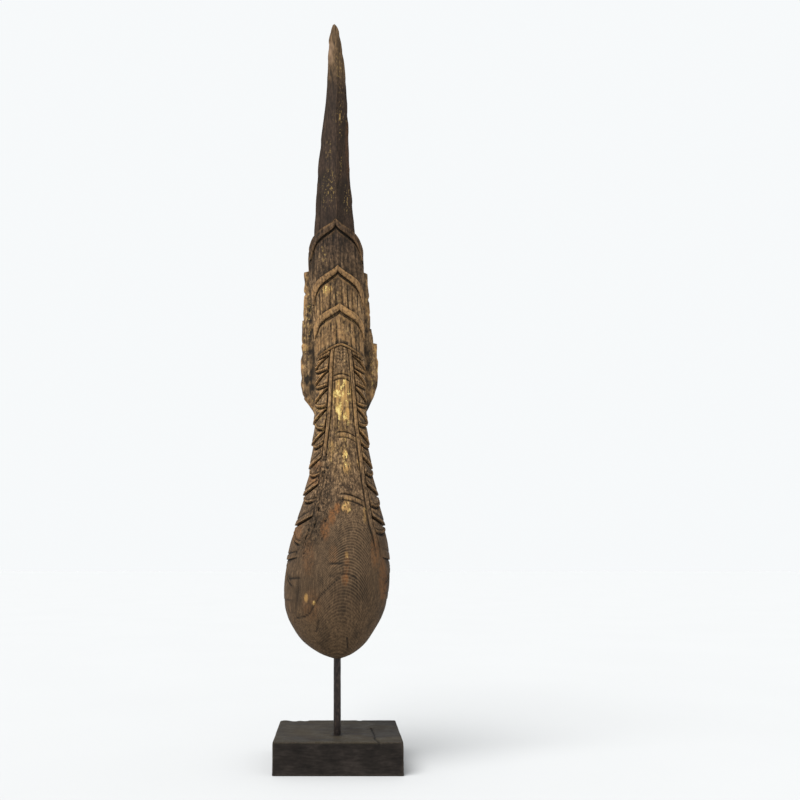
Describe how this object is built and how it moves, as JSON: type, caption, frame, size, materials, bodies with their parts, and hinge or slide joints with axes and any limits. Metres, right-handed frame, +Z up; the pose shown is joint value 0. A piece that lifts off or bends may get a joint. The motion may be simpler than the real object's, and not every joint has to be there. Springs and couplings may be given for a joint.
{
  "type": "roof finial on stand",
  "caption": "Tall carved timber roof finial with a long horn, pointed fluted sheaths, leaf-carved neck and swelling breast, held upright on a steel rod in a black wooden block.",
  "frame": {"origin": "middle of the block's underside", "axes": "+Z up along the finial towards the horn's tip, the carved front looks along -Y, +X is to the right of a viewer who faces the front"},
  "size_m": [0.16, 0.1461, 1.068],
  "materials": {
    "weathered_timber": "weathered, with remains of gilding and red lacquer",
    "dark_steel": "dark brown patina, half matt",
    "black_painted_wood": "matt black paint"
  },
  "bodies": {
    "root": {"carved_finial": "weathered_timber", "support_rod": "dark_steel", "base_block": "black_painted_wood"}
  },
  "joints": []
}
